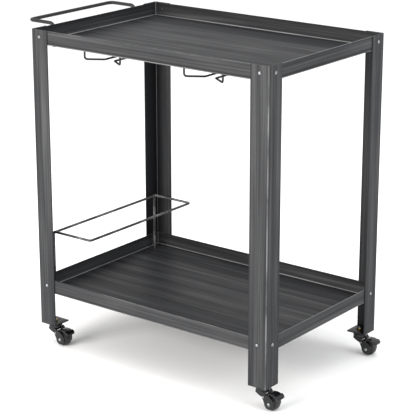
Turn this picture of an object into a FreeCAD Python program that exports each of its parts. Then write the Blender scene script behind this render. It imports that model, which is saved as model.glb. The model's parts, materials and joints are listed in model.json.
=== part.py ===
"""Two-tier bar cart on braked swivel casters, as separate pieces.

Frame: +X to the right along the long side, +Y to the back, +Z up. The origin is on
the floor, midway between the four legs. Sizes are in millimetres.
"""
import FreeCAD, Part
import Sketcher
import math
import os

Vector = FreeCAD.Vector
Placement = FreeCAD.Placement
Rotation = FreeCAD.Rotation

DRIVING = {
    # frame
    "cart_width": 700, "cart_depth": 470, "leg_foot": 56, "leg_length": 755,
    "flange": 50, "steel": 2, "leg_bend": 3, "edge_round": 0.5,
    # trays
    "sheet": 1.8, "wall_height": 35, "tray_bend": 2.5, "tray_fold": 2.4, "tray_corner": 1.5,
    "rim_drop": 1, "tray_pitch": 633, "drain_bore": 4, "drain_inset": 30,
    # tray fasteners
    "bolt_inset": 25, "bolt_rise": 18.5, "bolt_shank": 2.5, "bolt_hole": 2.75,
    "bolt_head": 4.5, "bolt_head_height": 3, "bolt_head_rim": 0.6, "bolt_reach": 3.6,
    "thread_play": 0.03,
    # push handle
    "handle_rod": 4.5, "handle_reach": 83, "handle_inset": 82, "handle_bend": 13,
    "handle_tail": 58,
    # bottle rail
    "rail_rod": 3.2, "rail_rise": 150.5, "rail_inset": 19, "rail_side": 36.5,
    "rail_span": 122, "rail_bend": 7, "rail_screw": 2, "rail_screw_depth": 10,
    "rail_screw_head": 3.8, "rail_screw_dome": 2.2, "rail_screw_play": 0.2,
    "rail_bar_drop": 2.1, "rail_bar_shift": 1,
    # stemware racks
    "rack_wire": 2.4, "rack_drop": 24.6, "rack_offset": 150, "rack_mouth": 55,
    "rack_slot": 15, "rack_front": 27.5, "rack_throat": 26.5, "rack_length": 290,
    "rack_bend": 6.5,
    # caster plate, stem and swivel bearing
    "plate_size": 48, "plate_thick": 3, "plate_corner": 2, "caster_inset": 26,
    "stem": 3, "stem_hole": 3.1,
    "stem_top": 67, "stem_nut_flats": 10, "stem_nut_height": 5,
    "race": 15.5, "race_height": 6, "race_wall": 1.5, "race_roof": 2,
    "ball": 1.2, "ball_ring": 10.5,
    "crown_top": 49.5, "crown_thick": 9, "crown": 16.5, "boss": 13.2, "boss_height": 1.5,
    "stem_head": 5.5, "stem_head_height": 2.5, "stem_seat_play": 0.3, "stem_play": 0.08,
    # fork, wheel and axle
    "trail": 28.5, "wheel": 17.5, "wheel_half": 12, "fork_outer": 16.5, "fork_inner": 13,
    "fork_eye": 12.5, "axle": 2.5, "axle_hole": 2.56, "axle_head": 4.4,
    "axle_head_height": 3, "axle_head_rim": 0.7, "axle_nut_flats": 8, "axle_nut_height": 4,
    "wheel_rim": 13.4, "wheel_flat": 4.6, "hub": 5, "hub_height": 0.6, "hub_step": 0.4, "wheel_dish": 0.5,
    "pin_seat_play": 0.02,
    # brake pedal
    "pin": 2, "pin_hole": 2.06, "pin_x": 13, "pin_z": 32.5, "pin_head": 2.9,
    "pin_head_height": 1.3, "pin_head_round": 0.8, "hinge_eye": 3.4,
    "pedal_half": 12.2, "wing_half": 14.2, "pad_clearance": 3.2, "toe_corner": 8,
}
BALL_COUNT = 12
CORNERS = {
    "front_left": (-1, -1, 0),
    "front_right": (1, -1, 90),
    "back_right": (1, 1, 180),
    "back_left": (-1, 1, 270),
}

doc = FreeCAD.newDocument("bar_cart")
sheet = doc.addObject("Spreadsheet::Sheet", "Sizes")
parts = []


class Dim:
    """A size together with the spreadsheet expression that gives it."""

    def __init__(self, value, text):
        self.value = value
        self.text = text

    @staticmethod
    def of(number):
        return number if isinstance(number, Dim) else Dim(float(number), repr(float(number)))

    def combine(self, other, sign, value):
        return Dim(value, f"({self.text} {sign} {other.text})")

    def __add__(self, other):
        other = Dim.of(other)
        return self.combine(other, "+", self.value + other.value)

    def __sub__(self, other):
        other = Dim.of(other)
        return self.combine(other, "-", self.value - other.value)

    def __mul__(self, other):
        other = Dim.of(other)
        return self.combine(other, "*", self.value * other.value)

    def __truediv__(self, other):
        other = Dim.of(other)
        return self.combine(other, "/", self.value / other.value)

    def __radd__(self, other):
        return Dim.of(other) + self

    def __rsub__(self, other):
        return Dim.of(other) - self

    def __rmul__(self, other):
        return Dim.of(other) * self

    def __neg__(self):
        return Dim.of(0) - self


def fill_sheet():
    """Write the driving sizes to the sheet, one alias to a row."""
    for row, (name, number) in enumerate(DRIVING.items(), start=1):
        sheet.set(f"A{row}", name)
        sheet.set(f"B{row}", str(number))
        sheet.setAlias(f"B{row}", name)
    doc.recompute()


def size(name):
    """The named driving size."""
    return Dim(float(DRIVING[name]), f"Sizes.{name}")


def bind(item, prop, length):
    """Tie a property to its size in the sheet."""
    length = Dim.of(length)
    item.setExpression(prop, length.text)


# ---------------------------------------------------------------- modelling helpers

def new_body(label):
    body = doc.addObject("PartDesign::Body", label)
    body.Label = label
    return body


def origin_plane(body, role):
    return next(f for f in body.Origin.OriginFeatures if f.Role == role)


def new_sketch(body, name, role, offset=None):
    """A sketch on one of the body's origin planes, moved along the plane's normal."""
    sketch = body.newObject("Sketcher::SketchObject", name)
    sketch.AttachmentSupport = [(origin_plane(body, role), "")]
    sketch.MapMode = "FlatFace"
    if offset is not None:
        bind(sketch, "AttachmentOffset.Base.z", offset)
    return sketch


def pin_point(sketch, geometry, point, x, y):
    """Fix a sketch point at sizes from the sheet, measured from the sketch's origin."""
    for kind, along in (("DistanceX", Dim.of(x)), ("DistanceY", Dim.of(y))):
        index = sketch.addConstraint(
            Sketcher.Constraint(kind, -1, 1, geometry, point, along.value))
        sketch.setExpression(f"Constraints[{index}]", along.text)


def arc_centre(start, end, radius):
    """Centre of the arc from start to end: left of the way for a positive radius."""
    middle = (start + end) * 0.5
    half = (end - start) * 0.5
    rise = math.sqrt(max(radius * radius - half.Length ** 2, 0.0))
    left = Vector(-half.y, half.x, 0).normalize()
    return middle + left * math.copysign(rise, radius)


def draw_arc(sketch, start, end, radius):
    """Add an arc of a bound radius; gives its index and the ends' point numbers."""
    centre = arc_centre(start, end, radius.value)
    turn = 1 if radius.value > 0 else -1
    first, last = (start, end) if turn > 0 else (end, start)
    angles = [math.atan2(p.y - centre.y, p.x - centre.x) for p in (first, last)]
    circle = Part.Circle(centre, Vector(0, 0, 1), abs(radius.value))
    index = sketch.addGeometry(Part.ArcOfCircle(circle, *angles), False)
    constraint = sketch.addConstraint(
        Sketcher.Constraint("Radius", index, abs(radius.value)))
    length = radius if turn > 0 else -radius
    sketch.setExpression(f"Constraints[{constraint}]", length.text)
    return (index, 1, 2) if turn > 0 else (index, 2, 1)


def draw_outline(sketch, corners):
    """Close an outline through the corners. A third number makes the edge to it an arc."""
    points = [Vector(Dim.of(c[0]).value, Dim.of(c[1]).value, 0) for c in corners]
    ends = []
    for i, corner in enumerate(corners):
        start, end = points[i - 1], points[i]
        if len(corner) == 3:
            ends.append(draw_arc(sketch, start, end, Dim.of(corner[2])))
        else:
            index = sketch.addGeometry(Part.LineSegment(start, end), False)
            ends.append((index, 1, 2))
    for i, (index, _, last) in enumerate(ends):
        following = ends[(i + 1) % len(ends)]
        sketch.addConstraint(
            Sketcher.Constraint("Coincident", index, last, following[0], following[1]))
    for corner, (index, _, last) in zip(corners, ends):
        pin_point(sketch, index, last, corner[0], corner[1])


def draw_circle(sketch, x, y, radius):
    centre = Vector(Dim.of(x).value, Dim.of(y).value, 0)
    radius = Dim.of(radius)
    index = sketch.addGeometry(Part.Circle(centre, Vector(0, 0, 1), radius.value), False)
    constraint = sketch.addConstraint(Sketcher.Constraint("Radius", index, radius.value))
    sketch.setExpression(f"Constraints[{constraint}]", radius.text)
    pin_point(sketch, index, 3, x, y)


def rectangle(x0, y0, x1, y1):
    return [(x0, y0), (x1, y0), (x1, y1), (x0, y1)]


def rounded_rectangle(half_x, half_y, corner):
    """Outline about the origin with round corners."""
    inner_x, inner_y = half_x - corner, half_y - corner
    return [(-half_x, -inner_y), (-inner_x, -half_y, corner), (inner_x, -half_y),
            (half_x, -inner_y, corner), (half_x, inner_y), (inner_x, half_y, corner),
            (-inner_x, half_y), (-half_x, inner_y, corner)]


def hexagon(flats):
    """Corners of a hexagon about the origin, across flats along Y."""
    tip = flats / math.sqrt(3)
    return [(tip, 0), (tip / 2, flats / 2), (-tip / 2, flats / 2),
            (-tip, 0), (-tip / 2, -flats / 2), (tip / 2, -flats / 2)]


def extrude(body, kind, sketch, length, symmetric=False, reverse=False):
    """A Pad or Pocket of the sketch, checked for the way it changes the volume."""
    before = body.Shape.Volume if body.Tip else 0.0
    feature = body.newObject(f"PartDesign::{kind}", f"{kind}{len(body.Group)}")
    feature.Profile = sketch
    feature.SideType = "Symmetric" if symmetric else "One side"
    feature.Reversed = reverse
    bind(feature, "Length", length)
    doc.recompute()
    change = body.Shape.Volume - before
    wanted = 1 if kind == "Pad" else -1
    if change * wanted <= 0:
        raise RuntimeError(f"{body.Label}: {feature.Name} changes no volume")
    return feature


def revolve(body, sketch):
    """A solid turned about the sketch's vertical axis."""
    feature = body.newObject("PartDesign::Revolution", "Turned")
    feature.Profile = sketch
    feature.ReferenceAxis = (sketch, ["V_Axis"])
    feature.Angle = 360
    doc.recompute()
    return feature


def edges_where(body, test):
    """Names of the edges of the body's present shape that pass a test."""
    return [f"Edge{i}" for i, edge in enumerate(body.Shape.Edges, start=1) if test(edge)]


def dress(body, kind, names, radius):
    """A Fillet or Chamfer on the named edges."""
    base = body.Tip
    feature = body.newObject(f"PartDesign::{kind}", f"{kind}{len(body.Group)}")
    feature.Base = (base, names)
    bind(feature, "Radius" if kind == "Fillet" else "Size", radius)
    body.Tip = feature
    doc.recompute()
    return feature


def straight_along(edge, axis):
    """True for a straight edge along the given axis letter."""
    if edge.Curve.TypeId != "Part::GeomLine":
        return False
    return abs(getattr(edge.Curve.Direction, axis)) > 0.999


def keep(label, item):
    """Enter a finished sub-part in the list that is written out."""
    item.Label = label
    parts.append(item)
    return item


def feature_of(label, shape, place=None):
    """A sub-part whose shape is built directly."""
    item = doc.addObject("Part::Feature", label)
    item.Shape = shape
    if place is not None:
        item.Placement = place
    return keep(label, item)


def copies(label, master, places):
    """One sub-part that holds a copy of the master at each place."""
    solids = [master.Shape.transformed(place.toMatrix(), True) for place in places]
    return feature_of(label, Part.makeCompound(solids))


# ---------------------------------------------------------------- derived levels

def levels():
    """Heights above the floor that follow from the driving sizes."""
    leg_top = size("leg_foot") + size("leg_length")
    upper = leg_top - size("rim_drop") - size("wall_height")
    return {"leg_top": leg_top, "upper": upper, "lower": upper - size("tray_pitch")}


def caster_axis(corner):
    """Plan position of a caster's swivel axis."""
    side, end, _ = CORNERS[corner]
    x = side * (size("cart_width") / 2 - size("caster_inset"))
    y = end * (size("cart_depth") / 2 - size("caster_inset"))
    return x, y


def move_to_caster(item, corner):
    x, y = caster_axis(corner)
    bind(item, "Placement.Base.x", x)
    bind(item, "Placement.Base.y", y)


# ---------------------------------------------------------------- frame

def make_leg(corner):
    """An angle of equal flanges, its outer corner at the cart's corner."""
    side, end, turn = CORNERS[corner]
    body = new_body(f"leg_{corner}")
    flange, steel = size("flange"), size("steel")
    bend, tip = size("leg_bend"), size("edge_round")
    root = bend - steel
    profile = new_sketch(body, "AngleProfile", "XY_Plane")
    draw_outline(profile, [
        (bend, 0, bend), (flange - tip, 0), (flange, tip, tip), (flange, steel - tip),
        (flange - tip, steel, tip), (steel + root, steel), (steel, steel + root, -root),
        (steel, flange - tip), (steel - tip, flange, tip), (tip, flange),
        (0, flange - tip, tip), (0, bend)])
    extrude(body, "Pad", profile, size("leg_length"))
    lv = levels()
    for role in ("XZ_Plane", "YZ_Plane"):
        holes = new_sketch(body, f"BoltHoles{role[:2]}", role)
        for tray in ("upper", "lower"):
            rise = lv[tray] + size("bolt_rise") - size("leg_foot")
            draw_circle(holes, size("bolt_inset"), rise, size("bolt_hole"))
        extrude(body, "Pocket", holes, steel * 4, symmetric=True)
    body.Placement = Placement(Vector(0, 0, 0), Rotation(Vector(0, 0, 1), turn))
    bind(body, "Placement.Base.x", side * size("cart_width") / 2)
    bind(body, "Placement.Base.y", end * size("cart_depth") / 2)
    bind(body, "Placement.Base.z", size("leg_foot"))
    return keep(body.Label, body)


def make_tray(label, level, post_holes):
    """A folded sheet pan with its floor at the foot of its walls."""
    body = new_body(label)
    half_x = size("cart_width") / 2 - size("steel")
    half_y = size("cart_depth") / 2 - size("steel")
    sheet_t = size("sheet")
    outer = new_sketch(body, "OuterOutline", "XY_Plane")
    draw_outline(outer, rounded_rectangle(half_x, half_y, size("tray_bend")))
    extrude(body, "Pad", outer, size("wall_height"))
    folds = edges_where(body, lambda e: e.BoundBox.ZMax < 0.01)
    dress(body, "Fillet", folds, size("tray_fold"))
    inner = new_sketch(body, "InnerOutline", "XY_Plane", sheet_t)
    draw_outline(inner, rounded_rectangle(half_x - sheet_t, half_y - sheet_t,
                                          size("tray_corner")))
    extrude(body, "Pocket", inner, size("wall_height"), reverse=True)
    folds = edges_where(body, lambda e: abs(e.BoundBox.ZMin - sheet_t.value) < 0.01
                        and abs(e.BoundBox.ZMax - sheet_t.value) < 0.01)
    dress(body, "Fillet", folds, size("tray_bend") - sheet_t)
    floor_holes = new_sketch(body, "DrainHoles", "XY_Plane")
    hole_x, hole_y = half_x - size("drain_inset"), half_y - size("drain_inset")
    for side, end, _ in CORNERS.values():
        draw_circle(floor_holes, side * hole_x, end * hole_y, size("drain_bore"))
    if post_holes:
        for x, y in rail_posts():
            draw_circle(floor_holes, x, y, size("rail_screw") + size("rail_screw_play"))
    extrude(body, "Pocket", floor_holes, sheet_t * 4, symmetric=True)
    reach = {"XZ_Plane": ("cart_width", "cart_depth"), "YZ_Plane": ("cart_depth", "cart_width")}
    for role, (along, through) in reach.items():
        holes = new_sketch(body, f"WallHoles{role[:2]}", role)
        for side in (-1, 1):
            place = side * (size(along) / 2 - size("bolt_inset"))
            draw_circle(holes, place, size("bolt_rise"),
                        size("bolt_shank") + size("thread_play"))
        extrude(body, "Pocket", holes, size(through) + 10, symmetric=True)
    bind(body, "Placement.Base.z", level)
    return keep(label, body)


# ---------------------------------------------------------------- bolts and nuts

def dome_radius(half_width, height):
    """Radius of the sphere that a dome of this half width and height is cut from."""
    return (half_width * half_width + height * height) / (2 * height)


def make_bolt_master():
    """A dome-head bolt along +Z, with the underside of its head at z = 0."""
    body = new_body("bolt_master")
    head, rise, shank = size("bolt_head"), size("bolt_head_height"), size("bolt_shank")
    rim = size("bolt_head_rim")
    dome = dome_radius(head, rise - rim)
    profile = new_sketch(body, "BoltProfile", "XZ_Plane")
    draw_outline(profile, [(0, -size("bolt_reach")), (shank, -size("bolt_reach")),
                           (shank, 0), (head, 0), (head, rim), (0, rise, dome)])
    revolve(body, profile)
    return body


def bolt_places(level):
    """The eight bolt places of a tray, on the outer faces of the legs."""
    half_x, half_y = size("cart_width").value / 2, size("cart_depth").value / 2
    inset, rise = size("bolt_inset").value, (level + size("bolt_rise")).value
    places = []
    for side, end, _ in CORNERS.values():
        front = Vector(side * (half_x - inset), end * half_y, rise)
        flank = Vector(side * half_x, end * (half_y - inset), rise)
        places.append(Placement(front, Rotation(Vector(0, 0, 1), Vector(0, end, 0))))
        places.append(Placement(flank, Rotation(Vector(0, 0, 1), Vector(side, 0, 0))))
    return places


def make_tray_bolts():
    """Bolts through the legs into the tapped walls of the trays."""
    bolt = make_bolt_master()
    lv = levels()
    for tray in ("upper", "lower"):
        copies(f"{tray}_tray_bolts", bolt, bolt_places(lv[tray]))


# ---------------------------------------------------------------- bent rods

def bent_path(points, bend):
    """Straight runs through the points, joined by tangent arcs of one radius."""
    edges, start = [], points[0]
    for before, corner, after in zip(points, points[1:], points[2:]):
        into = (corner - before).normalize()
        out = (after - corner).normalize()
        turn = into.getAngle(out)
        setback = bend * math.tan(turn / 2)
        arc_start, arc_end = corner - into * setback, corner + out * setback
        inward = (out - into).normalize()
        centre = corner + inward * (bend / math.cos(turn / 2))
        crest = centre - inward * bend
        edges.append(Part.LineSegment(start, arc_start).toShape())
        edges.append(Part.Arc(arc_start, crest, arc_end).toShape())
        start = arc_end
    edges.append(Part.LineSegment(start, points[-1]).toShape())
    return Part.Wire(edges)


def bent_rod(points, radius, bend):
    """A round rod along a bent path, checked against its section times its length."""
    path = bent_path(points, bend)
    way = (points[1] - points[0]).normalize()
    ring = Part.Wire([Part.Circle(points[0], way, radius).toShape()])
    rod = path.makePipeShell([ring], True, False, 2)
    expected = math.pi * radius * radius * path.Length
    if not rod.isValid() or abs(rod.Volume / expected - 1) > 0.02:
        raise RuntimeError(f"bent rod is wrong: {rod.Volume:.0f} against {expected:.0f}")
    return rod


def make_handle():
    """Push handle: a round bar in a U, its tails welded down the upper tray's left wall."""
    radius = size("handle_rod").value
    level = levels()["leg_top"].value
    half_x, half_y = size("cart_width").value / 2, size("cart_depth").value / 2
    wall = -half_x + size("steel").value - radius
    outer = -half_x - size("handle_reach").value
    arm = half_y - size("handle_inset").value
    foot = level - size("handle_tail").value
    points = [Vector(wall, -arm, foot), Vector(wall, -arm, level), Vector(outer, -arm, level),
              Vector(outer, arm, level), Vector(wall, arm, level), Vector(wall, arm, foot)]
    feature_of("push_handle", bent_rod(points, radius, size("handle_bend").value))


def rail_posts():
    """Plan places of the bottle rail's two posts."""
    x = size("rail_inset") - size("cart_width") / 2
    y = size("cart_depth") / 2 - size("rail_side")
    return [(x, -y), (x, y)]


def make_bottle_rail():
    """Bottle rail: one wire up from the floor and round three sides, with a bar between."""
    radius, bend = size("rail_rod").value, size("rail_bend").value
    lv = levels()
    floor = (lv["lower"] + size("sheet")).value
    top = (lv["lower"] + size("rail_rise")).value
    (x, y0), (_, y1) = rail_posts()
    x, y0, y1 = x.value, y0.value, y1.value
    far = x + size("rail_span").value
    points = [Vector(x, y0, floor), Vector(x, y0, top), Vector(far, y0, top),
              Vector(far, y1, top), Vector(x, y1, top), Vector(x, y1, floor)]
    wire = bent_rod(points, radius, bend)
    bar_start = Vector(x + size("rail_bar_shift").value, y0, top - size("rail_bar_drop").value)
    bar = Part.makeCylinder(radius, y1 - y0, bar_start, Vector(0, 1, 0))
    screw = (size("rail_screw") + size("thread_play")).value
    depth = size("rail_screw_depth").value + 1
    rail = wire.fuse(bar)
    for y in (y0, y1):
        rail = rail.cut(Part.makeCylinder(screw, depth, Vector(x, y, floor)))
    feature_of("bottle_rail", rail)


def make_rail_screws():
    """Round-head screws up through the lower tray into the rail's posts."""
    body = new_body("screw_master")
    shank, head = size("rail_screw"), size("rail_screw_head")
    dome = size("rail_screw_dome")
    profile = new_sketch(body, "ScrewProfile", "XZ_Plane")
    reach = size("sheet") + size("rail_screw_depth")
    draw_outline(profile, [(0, -dome), (head, 0, dome_radius(head, dome)),
                           (shank, 0), (shank, reach), (0, reach)])
    revolve(body, profile)
    level = levels()["lower"].value
    places = [Placement(Vector(x.value, y.value, level), Rotation()) for x, y in rail_posts()]
    copies("rail_screws", body, places)


def make_stemware_rack(label, side):
    """Stemware rack: one wire with a flared mouth, two slot rods and a raised back end."""
    wire = size("rack_wire").value
    ceiling = levels()["upper"].value
    level = ceiling - size("rack_drop").value
    centre = side * size("rack_offset").value
    mouth, slot = size("rack_mouth").value, size("rack_slot").value
    front = size("rack_front").value - size("cart_depth").value / 2
    throat = front + size("rack_throat").value
    back = front + size("rack_length").value
    flank = [Vector(-mouth, front, ceiling), Vector(-mouth, front, level),
             Vector(-slot, throat, level), Vector(-slot, back, level),
             Vector(-slot, back, ceiling - wire)]
    points = flank + [Vector(-p.x, p.y, p.z) for p in reversed(flank)]
    rack = bent_rod(points, wire, size("rack_bend").value)
    feature_of(label, rack, Placement(Vector(centre, 0, 0), Rotation()))


# ---------------------------------------------------------------- casters, fixed side

def make_caster_plate(corner):
    """Square plate welded in the foot of the leg, bored for the caster's stem."""
    body = new_body(f"caster_plate_{corner}")
    half = size("plate_size") / 2
    outline = new_sketch(body, "PlateOutline", "XY_Plane", size("leg_foot"))
    draw_outline(outline, rectangle(-half, -half, half, half))
    extrude(body, "Pad", outline, size("plate_thick"))
    corners = edges_where(body, lambda e: straight_along(e, "z"))
    dress(body, "Fillet", corners, size("plate_corner"))
    hole = new_sketch(body, "StemHole", "XY_Plane", size("leg_foot"))
    draw_circle(hole, 0, 0, size("stem_hole"))
    extrude(body, "Pocket", hole, size("plate_thick") * 4, symmetric=True)
    move_to_caster(body, corner)
    return keep(body.Label, body)


def make_stem(corner):
    """Threaded stem with the riveted head that carries the fork's crown."""
    body = new_body(f"caster_stem_{corner}")
    stem, head = size("stem"), size("stem_head")
    seat = size("crown_top") - size("crown_thick") - size("stem_seat_play")
    foot, top, tip = seat - size("stem_head_height"), size("stem_top"), 1
    profile = new_sketch(body, "StemProfile", "XZ_Plane")
    draw_outline(profile, [(0, foot), (head - tip, foot), (head, foot + tip, tip),
                           (head, seat), (stem, seat), (stem, top - tip),
                           (stem - tip, top), (0, top)])
    revolve(body, profile)
    move_to_caster(body, corner)
    return keep(body.Label, body)


def make_stem_nuts():
    """Hexagon nuts on the stems, above the plates."""
    nut, height = new_body("stem_nut_master"), size("stem_nut_height")
    outline = new_sketch(nut, "NutOutline", "XY_Plane")
    draw_outline(outline, hexagon(size("stem_nut_flats")))
    extrude(nut, "Pad", outline, height)
    hole = new_sketch(nut, "NutBore", "XY_Plane")
    draw_circle(hole, 0, 0, size("stem") + size("thread_play"))
    extrude(nut, "Pocket", hole, height * 3, symmetric=True)
    seat = (size("leg_foot") + size("plate_thick")).value
    places = []
    for corner in CORNERS:
        x, y = caster_axis(corner)
        places.append(Placement(Vector(x.value, y.value, seat), Rotation()))
    copies("caster_stem_nuts", nut, places)


def make_race(corner):
    """Upper cup of the swivel bearing, pressed against the underside of the plate."""
    body = new_body(f"swivel_race_{corner}")
    race, wall, top = size("race"), size("race_wall"), size("leg_foot")
    foot, bore, ceiling = top - size("race_height"), size("stem_hole"), top - size("race_roof")
    profile = new_sketch(body, "CupProfile", "XZ_Plane")
    draw_outline(profile, [(bore, ceiling), (race - wall, ceiling), (race - wall, foot),
                           (race, foot), (race, top - wall), (race - wall, top, wall),
                           (bore, top)])
    revolve(body, profile)
    move_to_caster(body, corner)
    return keep(body.Label, body)


# ---------------------------------------------------------------- casters, turning side

def make_balls(corner):
    """Ring of bearing balls on the crown's boss."""
    ball, ring = size("ball").value, size("ball_ring").value
    level = (size("crown_top") + size("boss_height") + size("ball")).value
    balls = []
    for step in range(BALL_COUNT):
        turn = 2 * math.pi * step / BALL_COUNT
        balls.append(Part.makeSphere(ball, Vector(ring * math.cos(turn),
                                                  ring * math.sin(turn), level)))
    x, y = caster_axis(corner)
    place = Placement(Vector(x.value, y.value, 0), Rotation())
    feature_of(f"swivel_balls_{corner}", Part.makeCompound(balls), place)


def make_fork(corner):
    """Caster fork: a round crown with a ball boss, and two arms that trail to +X."""
    body = new_body(f"caster_fork_{corner}")
    top, trail, hub = size("crown_top"), size("trail"), size("wheel")
    under = top - size("crown_thick")
    eye, outer, inner = size("fork_eye"), size("fork_outer"), size("fork_inner")
    brow, chin, chin_level, ledge = 9, 7, 39.5, 44.5
    throat, throat_round = 9, 40
    heel_level, heel_round = 27, 22
    shoulder, nape = (31, 35.5), (17, 39.5)
    nape_round, crown_back = 30, 13
    cheek = new_sketch(body, "CheekOutline", "XZ_Plane")
    draw_outline(cheek, [(-brow, ledge), (-brow, under), (-chin, chin_level),
                         (throat, size("pin_z"), throat_round), (trail - eye, hub),
                         (trail, hub - eye, eye), (trail + eye, hub, eye),
                         (trail + eye - 1, heel_level), (*shoulder, heel_round),
                         (*nape, nape_round), (crown_back, ledge)])
    extrude(body, "Pad", cheek, outer * 2, symmetric=True)
    gap = new_sketch(body, "WheelGap", "XZ_Plane")
    draw_outline(gap, rectangle(-2 * size("race"), -eye, trail * 2 + eye, under))
    extrude(body, "Pocket", gap, inner * 2, symmetric=True)
    crown = new_sketch(body, "CrownDisc", "XY_Plane", under)
    draw_circle(crown, 0, 0, size("crown"))
    extrude(body, "Pad", crown, size("crown_thick"))
    boss = new_sketch(body, "BallBoss", "XY_Plane", top)
    draw_circle(boss, 0, 0, size("boss"))
    extrude(body, "Pad", boss, size("boss_height"))
    bore = new_sketch(body, "StemBore", "XY_Plane", top)
    draw_circle(bore, 0, 0, size("stem") + size("stem_play"))
    extrude(body, "Pocket", bore, size("crown_thick") * 3, symmetric=True)
    pins = new_sketch(body, "PinHoles", "XZ_Plane")
    draw_circle(pins, trail, hub, size("axle") + size("pin_seat_play"))
    draw_circle(pins, size("pin_x"), size("pin_z"), size("pin") + size("pin_seat_play"))
    extrude(body, "Pocket", pins, outer * 3, symmetric=True)
    move_to_caster(body, corner)
    return keep(body.Label, body)


def turned_pin(label, corner, profile, x, z):
    """A piece turned about an axis along Y through the point x, z of a caster."""
    body = new_body(label)
    sketch = new_sketch(body, "TurnedProfile", "XY_Plane")
    draw_outline(sketch, profile)
    revolve(body, sketch)
    axis_x, axis_y = caster_axis(corner)
    bind(body, "Placement.Base.x", axis_x + x)
    bind(body, "Placement.Base.y", axis_y)
    bind(body, "Placement.Base.z", z)
    return keep(label, body)


def make_axle_bolt(corner):
    """Axle bolt with its dome head on the front cheek."""
    shank, head, rise = size("axle"), size("axle_head"), size("axle_head_height")
    outer, rim, tip = size("fork_outer"), size("axle_head_rim"), 0.5
    dome = dome_radius(head, rise - rim)
    end = outer + size("axle_nut_height") + 1
    turned_pin(f"axle_bolt_{corner}", corner,
               [(0, -outer - rise), (head, -outer - rim, dome), (head, -outer),
                (shank, -outer), (shank, end - tip), (shank - tip, end), (0, end)],
               size("trail"), size("wheel"))


def make_axle_nut(corner):
    """Hexagon nut on the back end of the axle bolt."""
    body = new_body(f"axle_nut_{corner}")
    outline = new_sketch(body, "NutOutline", "XZ_Plane", -size("fork_outer"))
    draw_outline(outline, hexagon(size("axle_nut_flats")))
    extrude(body, "Pad", outline, size("axle_nut_height"), reverse=True)
    hole = new_sketch(body, "NutBore", "XZ_Plane", -size("fork_outer"))
    draw_circle(hole, 0, 0, size("axle") + size("thread_play"))
    extrude(body, "Pocket", hole, size("axle_nut_height") * 3, symmetric=True)
    axis_x, axis_y = caster_axis(corner)
    bind(body, "Placement.Base.x", axis_x + size("trail"))
    bind(body, "Placement.Base.y", axis_y)
    bind(body, "Placement.Base.z", size("wheel"))
    return keep(body.Label, body)


def make_pedal_pin(corner):
    """Riveted pin that the brake pedal turns on."""
    pin, head, outer = size("pin"), size("pin_head"), size("fork_outer")
    rise, edge = size("pin_head_height"), size("pin_head_round")
    end, rim = outer + rise, outer + rise - edge
    turned_pin(f"pedal_pin_{corner}", corner,
               [(0, -end), (head - edge, -end), (head, -rim, edge), (head, -outer),
                (pin, -outer), (pin, outer), (head, outer), (head, rim),
                (head - edge, end, edge), (0, end)],
               size("pin_x"), size("pin_z"))


def make_wheel(corner):
    """Solid wheel with a narrow tread, broad round shoulders and a hub boss on each side."""
    wheel, rim, bore = size("wheel"), size("wheel_rim"), size("axle_hole")
    face = size("wheel_half") - size("wheel_dish")
    boss, hub = size("wheel_half") + size("hub_height"), size("hub")
    side = [(bore, boss), (hub, boss), (hub + size("hub_step"), face), (rim, face)]
    flat = size("wheel_flat")
    shoulder = -dome_radius(face - flat, wheel - rim)
    tread = [(wheel, flat, shoulder), (wheel, -flat), (rim, -face, shoulder)]
    other_side = [(x, -y) for x, y in reversed(side[:-1])]
    turned_pin(f"wheel_{corner}", corner, side + tread + other_side,
               size("trail"), size("wheel"))


# ---------------------------------------------------------------- brake pedals

def make_pedal(corner):
    """Brake pedal: hinged at the fork's front, it arches over the wheel to a wide toe."""
    body = new_body(f"brake_pedal_{corner}")
    trail, hub, pin_x, pin_z = size("trail"), size("wheel"), size("pin_x"), size("pin_z")
    arch = size("wheel") + size("pad_clearance")
    front, brow, crest, slope = (9.6, pin_z), (18.5, 40.6), (29, 42.6), (43, 40.8)
    lip, toe_tip, toe_under, step = (53, 36.2), (55, 33.2), (52.6, 32.4), (48.8, 33.6)
    heel, tail, belly, throat = (46.8, 32), (46.4, 28.2), (trail, 21.5), (pin_x + 2, 26.5)
    toe_end = [(*lip, -26), (*toe_tip, -2), (*toe_under, -2), step]
    hood = new_sketch(body, "HoodOutline", "XZ_Plane")
    draw_outline(hood, [front, (*brow, -14), (*crest, -30), (*slope, -34)] + toe_end
                 + [(*heel, 5), tail, belly, throat])
    extrude(body, "Pad", hood, size("pedal_half") * 2, symmetric=True)
    wheel_room = new_sketch(body, "WheelRoom", "XZ_Plane")
    draw_circle(wheel_room, trail, hub, arch)
    extrude(body, "Pocket", wheel_room, size("pedal_half") * 3, symmetric=True)
    eye = new_sketch(body, "HingeEye", "XZ_Plane")
    draw_circle(eye, pin_x, pin_z, size("hinge_eye"))
    extrude(body, "Pad", eye, size("pedal_half") * 2, symmetric=True)
    wing_foot, wing_top = (44, 35), (44, 41)
    toe = new_sketch(body, "ToeOutline", "XZ_Plane")
    draw_outline(toe, toe_end + [wing_foot, wing_top])
    extrude(body, "Pad", toe, size("wing_half") * 2, symmetric=True)
    wing, turn, tip = size("wing_half"), size("toe_corner"), toe_tip[0]
    for end in (-1, 1):
        outside = new_sketch(body, "ToeCorner", "XY_Plane")
        beyond, straight = end * (wing + 1), end * (wing - turn)
        draw_outline(outside, [(tip - turn, beyond), (tip + 1, beyond), (tip + 1, straight),
                               (tip, straight), (tip - turn, end * wing, end * turn)])
        extrude(body, "Pocket", outside, pin_z * 3, symmetric=True)
    hinge = new_sketch(body, "PinHole", "XZ_Plane")
    draw_circle(hinge, pin_x, pin_z, size("pin_hole"))
    extrude(body, "Pocket", hinge, size("pedal_half") * 3, symmetric=True)
    move_to_caster(body, corner)
    return keep(body.Label, body)


# ---------------------------------------------------------------- whole cart

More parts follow.
